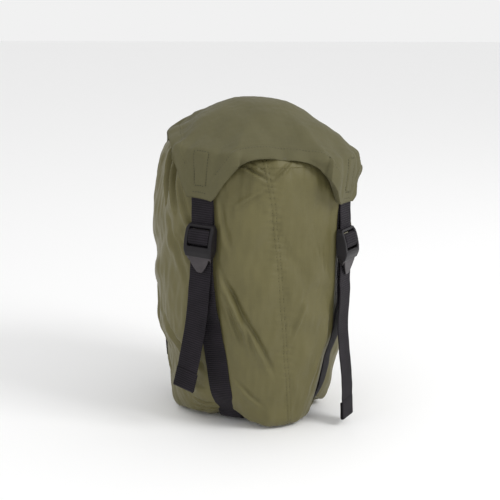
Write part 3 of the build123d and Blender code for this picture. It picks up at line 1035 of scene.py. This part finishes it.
def make_lid_stitches(outer, flat, to_edge):
    """The box of stitches that holds each loop, the line across each leg, and the hem's row."""
    rows = []
    end = LEG_LENGTH
    for leg in LEGS:
        ahead, aside = (direction[:2] for direction in corner_frame(leg))
        near, far, half = end - BOX_FROM, end - BOX_TO, BOX_HALF
        corners = [near * ahead - half * aside, far * ahead - half * aside, far * ahead + half * aside,
                   near * ahead + half * aside, near * ahead - half * aside]
        lines = [[corners[k], corners[k + 1]] for k in range(4)]
        lines.append([(end - 6.5) * ahead - 13 * aside, (end - 6.5) * ahead + 13 * aside])
        for k, line in enumerate(lines):
            points, ups = stitch_route(outer, flat, line)
            rows.append(stitch_row(f"leg_{leg}_{k}", points, ups, 2.3, 0.7, 0.36))
    for middle in ARCHES:
        chosen = np.abs(turn_between(LID_EDGE[:, 0], middle)) < 36.5
        spots = []
        for k in np.nonzero(chosen)[0]:
            step = np.argmin(np.abs(to_edge[:, k] - HEM_DEEP))
            spots.append((turn_between(LID_EDGE[k, 0], middle), outer[step, k]))
        spots.sort(key=lambda item: item[0])
        points = rolled(np.array([spot for _, spot in spots]), 3.0, 0.8)
        rows.append(stitch_row(f"hem_{middle}", points, unit(points - (0, 0, 210)), 2.4, 0.9, 0.26))
    piece = joined("lid_stitches", rows)
    return finish_piece(piece, lid_thread, "lid")


# ---- webbing ------------------------------------------------------------------------------------

WEB_WIDE, WEB_THICK = 25.4, 1.4
BUCKLE_R = 108.4
RIB = 2.4           # one rib of the webbing to the next


def strip(name, line, sideways, thick=WEB_THICK, wide=WEB_WIDE, start=0.0, cup=0.0):
    """Flat webbing along a line of points, ribbed, with rounded selvedges and closed ends."""
    line = np.asarray(line, float)
    lengths = along(line)
    stations = int(lengths[-1] / (RIB / 4)) + 1
    places = np.linspace(0, lengths[-1], stations)
    middle = line_at(line, lengths, places)
    side = line_at(sideways, lengths, places)
    ahead = unit(np.gradient(middle, axis=0))
    side = unit(side - (side * ahead).sum(1, keepdims=True) * ahead)
    up = np.cross(side, ahead)
    half, t = wide / 2, thick / 2
    faces_across = np.linspace(-half + t, half - t, 13)
    selvedge = [(half - t + t * sin(b), t * cos(b)) for b in (pi / 4, pi / 2, 3 * pi / 4)]
    one_half = np.array([(a, t) for a in faces_across] + selvedge)
    section = np.concatenate([one_half, -one_half])
    rib = 0.17 * np.cos(2 * pi * (places + start) / RIB)
    edge = 1 - smooth_step(np.abs(section[:, 0]), half - 2.2, half - 1.2)
    rise = section[None, :, 1] + np.sign(section[None, :, 1]) * rib[:, None] * edge[None, :]
    bow = cup * (1 - (section[:, 0] / half) ** 2)
    wave = 0.12 * ripples(places, places * 0, 18, 7)
    across = section[None, :, 0] * (1 + 0.006 * ripples(places, places * 0, 25, 9))[:, None]
    grid = (middle[:, None] + side[:, None] * across[..., None]
            + up[:, None] * (rise + bow[None, :] + wave[:, None])[..., None])
    count = len(section)
    faces = [tuple(f) for f in grid_faces(stations, count, wrap=True)]
    faces.append(tuple(range(count))[::-1])
    faces.append(tuple((stations - 1) * count + k for k in range(count)))
    return make_piece(name, grid, faces, pairs(section[:, 0], (places + start)[:, None]))


def corner_frame(bearing):
    """The outward and sideways directions at a bearing."""
    angle = radians(bearing)
    return np.array([cos(angle), sin(angle), 0.0]), np.array([-sin(angle), cos(angle), 0.0])


def corner_line(bearing, places, aside=None):
    """Points from (outward, up) places at a corner, and the sideways direction at each."""
    outward, sideways = corner_frame(bearing)
    places = np.asarray(places, float)
    offset = np.zeros(len(places)) if aside is None else np.asarray(aside, float)
    points = places[:, :1] * outward + offset[:, None] * sideways
    points[:, 2] += places[:, 1]
    return points, np.broadcast_to(sideways, points.shape).copy()


def leg_place(bearing, r, z):
    """Where a point of the level lid comes at a corner once the lid is leaned, as (outward, up)."""
    outward, _ = corner_frame(bearing)
    place = tilt_lid(np.array([r * outward[0], r * outward[1], z]))
    return float(place[:2] @ outward[:2]), float(place[2])


def make_loop(corner):
    """The doubled webbing that comes out of the lid's leg and holds the buckle's top bar."""
    bearing, _, bar = CORNERS[corner]
    slope = min(0.0, (SHOULDER_R - drawn_shoulder(bearing) - LEG_R) / (SHOULDER_Z - 5 - LEG_Z))
    rise, ply, reach = 25, 0.62, 2.3
    top = leg_place(bearing, LEG_R - 2.4 + slope * rise, LEG_Z + rise)
    leg = leg_place(bearing, LEG_R - 3.1 + slope * 4, LEG_Z + 4)
    turn = [(BUCKLE_R + 1.4 + reach * cos(radians(a)), bar + reach * sin(radians(a)))
            for a in range(40, -221, -20)]
    line = [(x + ply, z) for x, z in (top, leg)] + turn + [(x - ply, z) for x, z in (leg, top)]
    line = rolled(line, 1.0, 0.4)
    points, sideways = corner_line(bearing, line)
    piece = strip("buckle_loop_webbing_" + corner, points, sideways, 1.15)
    return finish_piece(piece, webbing, "lid", replaces=["buckle_loop_" + corner])


def strap_route(bearing, bar):
    """A side strap's middle line: out from under the base, then up the sack in its wrung groove."""
    runs = np.arange(float(run_at_height(14)), float(run_at_height(128)), 2.0)
    z = line_at(SACK_LINE, SACK_RUN, runs)[:, 1]
    on_sack = sack_points(strap_bearing(bearing, z), runs, 1.5, folds=False)
    radii = np.hypot(on_sack[:, 0], on_sack[:, 1]) + 1.4 * smooth_step(on_sack[:, 2], 92, 124)
    plan = [(STRAP_FOOT - 0.5, 0.72)] + list(zip(FOOT_RADII[1:4], FOOT_HEIGHTS[1:4]))
    plan += list(zip(radii, on_sack[:, 2]))
    plan += [(109.0, 138), (109.6, 150), (109.8, bar - 66), (109.9, bar - 50)]
    plan = rolled(plan, 5.0, 1.0)
    angles = strap_bearing(bearing, plan[:, 1] * 180 / (bar - 50))
    points = around(angles, plan[:, 0], plan[:, 1])
    return points, around(angles + 90, 1.0, 0.0)


STRETCH_FROM = 124      # the strap's stretch begins at this height
STRAP_R = 109.9         # where the strap leaves the sack for the buckle


def place_in_frame(bearing, radius, z):
    return tuple(float(value) * MM for value in around(bearing, radius, z))


def make_side_strap(corner):
    """The loaded strap: a long stretch up the sack, and a short lead into the buckle."""
    bearing, _, bar = CORNERS[corner]
    points, sideways = strap_route(bearing, bar)
    lower = strip("side_strap_webbing_" + corner, points, sideways)
    stretch = [place_in_frame(bearing, STRAP_R, z) for z in (STRETCH_FROM, bar - 52)]
    finish_piece(lower, webbing, blend=("sack", "lid", *stretch),
                 replaces=["side_strap_" + corner])
    places = [(STRAP_R, bar - 50.4), (110.1, bar - 40), (111.6, bar - 22), (112.2, bar - 12),
              (112.4, bar - 10)]
    lead, lead_sideways = corner_line(bearing, rolled(places, 2.0, 0.6))
    upper = strip("strap_lead_webbing_" + corner, lead, lead_sideways, start=float(along(points)[-1]))
    stretch = [place_in_frame(bearing, 110, z) for z in (bar - 50, bar - 10)]
    finish_piece(upper, webbing, blend=("lid", "buckle_" + corner, *stretch),
                 replaces=["side_strap_" + corner])


def make_bight(corner):
    """The webbing's turn over the buckle's middle bar and down its front."""
    bearing, _, bar = CORNERS[corner]
    places = [(3.6, -13.0), (3.6, -8.6), (4.6, -5.4), (6.8, -4.4), (8.8, -6.0), (10.1, -10), (11.1, -15.0),
              (10.9, -17.6), (9.0, -19.3), (6.6, -20.4), (4.9, -23.6)]
    line = rolled([(BUCKLE_R + x, bar + z) for x, z in places], 0.9, 0.4)
    points, sideways = corner_line(bearing, line)
    piece = strip("strap_bight_webbing_" + corner, points, sideways, 1.3, 24.6)
    return finish_piece(piece, webbing, "buckle_" + corner, replaces=["strap_bight_" + corner])


# How each loose tail hangs: the drift of its end to the side, its outward curl, and its waves.
TAILS = {
    "front_left": (-17.5, 5.0, 0.6),
    "front_right": (1.0, 9.0, 1.8),
    "back_right": (7.0, 6.0, 1.2),
    "back_left": (-9.0, 1.0, 1.0),
}
HEM_LONG = 22.0


def make_tail(corner):
    """The loose end below the buckle, and its folded and stitched hem."""
    bearing, _, bar = CORNERS[corner]
    drift, curl, waves = TAILS[corner]
    outward, side = corner_frame(bearing)
    box_low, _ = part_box("tail_hem_" + corner)
    low, top = box_low.z / MM - 4.5, bar - 23.8
    z = np.linspace(top, low, 120)
    share = (top - z) / (top - low)
    out = BUCKLE_R + 4.5 + curl * share**3 * 1.2
    out += waves * np.sin(share * 9.5 + 0.6) * smooth_step(share, 0.12, 0.4)
    out += 1.6 * smooth_step(share, 0.15, 0.35) * (1 - share)
    aside = drift * (0.12 * share + 0.88 * share**2.1)
    points, sideways = corner_line(bearing, np.stack([out, z], 1), aside)
    lengths = along(points)
    cut = lengths[-1] - HEM_LONG
    keep = lengths <= cut + 3.0
    tilt = np.gradient(aside, lengths)
    sideways = np.broadcast_to(side, points.shape) + np.array([0, 0, 1.0]) * tilt[:, None]
    tail = strip("strap_tail_webbing_" + corner, points[keep], sideways[keep], cup=0.25)
    finish_piece(tail, webbing, "tail_" + corner, replaces=["strap_tail_" + corner])
    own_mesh(tail)
    folded = lengths > cut
    rest, rest_side = points[folded] + outward * 0.35, sideways[folded]
    last = unit(rest[-1] - rest[-2])
    fold = [rest[-1] + last * 1.0 - outward * 1.0, rest[-1] - outward * 2.2]
    back = [p - outward * 2.3 for p in rest[::-1][1:-2]]
    line = np.concatenate([rest, fold, back])
    sides = np.concatenate([rest_side, [rest_side[-1]] * 2, rest_side[::-1][1:-2]])
    rounded = rolled(line, 0.5, 0.5)
    hem = strip("tail_hem_webbing_" + corner, rounded, spread_like(line, sides, rounded), 1.35, start=cut)
    finish_piece(hem, webbing, "tail_end_" + corner, replaces=["tail_hem_" + corner])
    make_hem_stitches(corner, rest, rest_side, outward)


def spread_like(line, values, new_line):
    """Values given along one line, read at the same shares of another."""
    old, new = along(line), along(new_line)
    return line_at(values, old, new / new[-1] * old[-1])


def make_hem_stitches(corner, rest, rest_side, outward):
    """Three rows of stitches across a tail's hem."""
    rows = []
    side = unit(rest_side[0])
    for k, place in enumerate((3.0, 6.5, 16.0)):
        middle = line_at(rest, along(rest), place)
        spots = np.linspace(-10.5, 10.5, 22)[:, None] * side + middle + outward * 0.78
        rows.append(stitch_row(f"row_{k}", spots, np.broadcast_to(outward, spots.shape), 2.0, 0.9, 0.26))
    piece = joined("tail_hem_stitches_" + corner, rows)
    return finish_piece(piece, web_thread, "tail_end_" + corner)


def make_cross_straps():
    """The two straps under the base, one stepping over the other."""
    for name, bearing, hop in (("cross_strap_low", 225 + TWIST, 0.0), ("cross_strap_high", 315 + TWIST, 1.6)):
        x = np.linspace(-STRAP_FOOT, STRAP_FOOT, 125)
        z = WEB_THICK / 2 + hop * (1 - smooth_step(np.abs(x), 15, 22))
        points, sideways = corner_line(bearing, np.stack([x, z], 1))
        piece = strip(name + "_webbing", points, sideways, 1.35)
        finish_piece(piece, webbing, "sack", replaces=[name])


# ---- ladder lock --------------------------------------------------------------------------------


def prism(name, outline, low, high, axis="y"):
    """A closed outline made solid: an (x, z) outline across y, or a (y, z) outline across x."""
    outline = np.asarray(outline, float)
    points = []
    for level in (low, high):
        for a, b in outline:
            points.append((a, level, b) if axis == "y" else (level, a, b))
    n = len(outline)
    faces = [tuple(range(n)), tuple(range(2 * n - 1, n - 1, -1))]
    faces += [(k, n + k, n + (k + 1) % n, (k + 1) % n) for k in range(n)]
    piece = make_piece(name, points, faces)
    bm = bmesh.new()
    bm.from_mesh(piece.data)
    bmesh.ops.recalc_face_normals(bm, faces=bm.faces)
    bm.to_mesh(piece.data)
    bm.free()
    return piece


def closed_curve(outline, spread):
    """A closed outline with its corners rounded."""
    outline = list(outline)
    line = rolled(outline * 3 + outline[:1], spread, 0.4)
    count = len(line)
    return line[count // 3: 2 * count // 3]


def circle(x, z, radius, count=24):
    turns = [2 * pi * k / count for k in range(count)]
    return [(x + radius * cos(turn), z + radius * sin(turn)) for turn in turns]


def mirrored(right):
    """A whole outline from the (y, z) points of its right side."""
    return right + [(-y, z) for y, z in reversed(right) if y]


def plate(middle, thick):
    """The outline of an evenly thick plate whose middle line is given."""
    line = rolled(middle, 0.7, 0.35)
    step = unit(np.gradient(line, axis=0))
    normal = np.stack([-step[:, 1], step[:, 0]], 1) * thick / 2
    return np.concatenate([line + normal, (line - normal)[::-1]])


def cut_to(piece, cutter):
    """Keeps what of a piece is inside the cutter."""
    with_modifier(piece, "BOOLEAN", operation="INTERSECT", object=cutter, solver="EXACT")
    piece = applied(piece)
    bpy.data.objects.remove(cutter)
    return piece


def make_buckle_shape():
    """The ladder lock in its own frame: x outward from its back, y across, z up from its top bar."""
    inner, outer = 12.7, 16.5
    rail = closed_curve([(0.2, 0.6), (1.8, 1.9), (4.6, 1.2), (7.0, -1.0), (9.4, -6.5), (11.4, -13.0),
                         (12.8, -20.0), (13.0, -25.0), (11.8, -29.0), (9.6, -33.5), (7.4, -38.5),
                         (5.4, -38.5), (3.4, -33.5), (1.0, -24.0), (0.2, -12.0)], 1.0)
    front = closed_curve(mirrored([(12.5, 3.5), (16.6, -3.0), (16.6, -27.0), (12.5, -41.0)]), 1.6)
    band = plate([(1.4 + 4.1 * cos(radians(a)), 4.1 * sin(radians(a))) for a in range(14, -70, -7)], 1.9)
    grip = closed_curve([(6.4, -24.4), (9.4, -21.6), (12.2, -21.2), (13.5, -23.4), (13.2, -27.0),
                         (10.9, -32.8), (7.2, -33.5), (6.4, -29.0)], 0.6)
    tab = closed_curve([(6.6, -29.0), (9.8, -29.0), (9.9, -35.0), (9.0, -41.0), (8.2, -46.6), (7.4, -50.0),
                        (6.2, -50.4), (5.8, -49.4), (6.2, -42.0)], 0.5)
    tab_face = closed_curve(mirrored([(13.6, -28.0), (13.0, -33.0), (10.6, -38.5), (7.6, -43.8),
                                      (3.6, -49.2), (0.0, -51.0)]), 0.8)
    parts = [prism("top_bar", circle(1.4, 0, 1.5), -outer + 2, outer - 2),
             prism("middle_bar", plate([(6.0, -9.0), (8.4, -17.2)], 2.4), -outer + 1, outer - 1),
             prism("grip_bar", grip, -outer + 0.8, outer - 0.8)]
    for outline, low, high, cutter in ((rail, -outer - 1, -inner, front), (rail, inner, outer + 1, front),
                                       (band, -outer, outer, front), (tab, -outer, outer, tab_face)):
        parts.append(cut_to(prism("part", outline, low, high), prism("cutter", cutter, -5, 25, axis="x")))
    shape = joined("ladder_lock", parts)
    with_modifier(shape, "REMESH", mode="VOXEL", voxel_size=0.42 * MM, adaptivity=0.0)
    with_modifier(shape, "SMOOTH", factor=0.5, iterations=5)
    shape = applied(shape)
    shape.data.polygons.foreach_set("use_smooth", np.ones(len(shape.data.polygons), bool))
    return shape


TAB_TOP = -32.6         # where the tab begins, under the buckle's top bar


def make_buckles():
    """The four ladder locks, with the outward faces of each pointed tab given a paler copy of the plastic as
    painted light.
    """
    shape = make_buckle_shape()
    # The outward faces below TAB_TOP take the paler plastic: painted light on each tab.
    painted_lit_tab_faces = [face.center.z < TAB_TOP * MM and face.normal.x > 0.3 for face in shape.data.polygons]
    for corner, (bearing, _, bar) in CORNERS.items():
        mesh = shape.data.copy()
        turn = Matrix.Rotation(radians(bearing), 4, "Z")
        mesh.transform(turn @ Matrix.Translation((BUCKLE_R * MM, 0, 0)))
        mesh.transform(Matrix.Translation((0, 0, bar * MM)))
        piece = new_object("ladder_lock_moulding_" + corner, mesh)
        finish_piece(piece, plastic, "buckle_" + corner, replaces=["ladder_lock_" + corner])
        piece.data.materials.append(painted_lit_tab_plastic)
        piece.data.polygons.foreach_set("material_index", np.array(painted_lit_tab_faces, int))
    bpy.data.objects.remove(shape)


def make_eyelet_finish():
    """The cord eyelet keeps its own shape and gets a metal finish."""
    eyelet = bpy.data.objects["cord_eyelet"]
    for slot in eyelet.material_slots:
        slot.material = eyelet_metal


# ---- camera, light and floor --------------------------------------------------------------------


def make_camera():
    """A camera a little left of the front and above, rolled slightly."""
    azimuth, elevation, distance, roll = radians(-15.8), radians(14.0), 1340 * MM, radians(1.2)
    target = Vector((0, 0, 175 * MM))
    back = Vector((sin(azimuth) * cos(elevation), -cos(azimuth) * cos(elevation), sin(elevation)))
    data = bpy.data.cameras.new("camera")
    data.lens = 85.7
    data.sensor_width = 36
    data.shift_x = -0.008
    data.shift_y = 0.012
    data.clip_end = 50
    camera = new_object("camera", data)
    camera.location = target + distance * back
    turn = (-back).to_track_quat("-Z", "Y").to_matrix() @ Matrix.Rotation(roll, 3, "Z")
    camera.rotation_euler = turn.to_euler()
    bpy.context.scene.camera = camera


def area_light(name, place, target, size, power):
    data = bpy.data.lights.new(name, "AREA")
    data.energy = power
    data.size = size
    light = new_object(name, data)
    light.location = place
    light.rotation_euler = (Vector(target) - Vector(place)).to_track_quat("-Z", "Y").to_euler()


def make_studio():
    """A pale floor and soft light from all round, a little stronger from the upper right."""
    scene = bpy.context.scene
    far = 6000
    corners = [(-far, -far, -0.1), (far, -far, -0.1), (far, far, -0.1), (-far, far, -0.1)]
    floor = make_piece("floor", corners, [(0, 1, 2, 3)])
    n = Nodes("floor")
    n.shader.inputs["Base Color"].default_value = (0.93, 0.93, 0.93, 1)
    n.shader.inputs["Roughness"].default_value = 0.9
    floor.data.materials.append(n.material)
    world = bpy.data.worlds.new("studio")
    world.use_nodes = True
    sky = world.node_tree.nodes["Background"]
    sky.inputs[0].default_value = (1, 1, 1, 1)
    sky.inputs[1].default_value = 0.88
    scene.world = world
    area_light("key", (1.3, -1.2, 1.6), (0, 0, 0.2), 0.8, 22)
    area_light("fill", (-1.9, -1.2, 1.0), (0, 0, 0.18), 1.2, 4)
    scene.view_settings.view_transform = "Standard"


WRINKLES = simulate_wrinkles()
make_side_panel()
make_collar()
make_base()
make_neck_hem()
make_front_stitches()
make_lid()
for corner_name in CORNERS:
    make_loop(corner_name)
    make_side_strap(corner_name)
    make_bight(corner_name)
    make_tail(corner_name)
make_cross_straps()
make_buckles()
make_eyelet_finish()
make_camera()
make_studio()
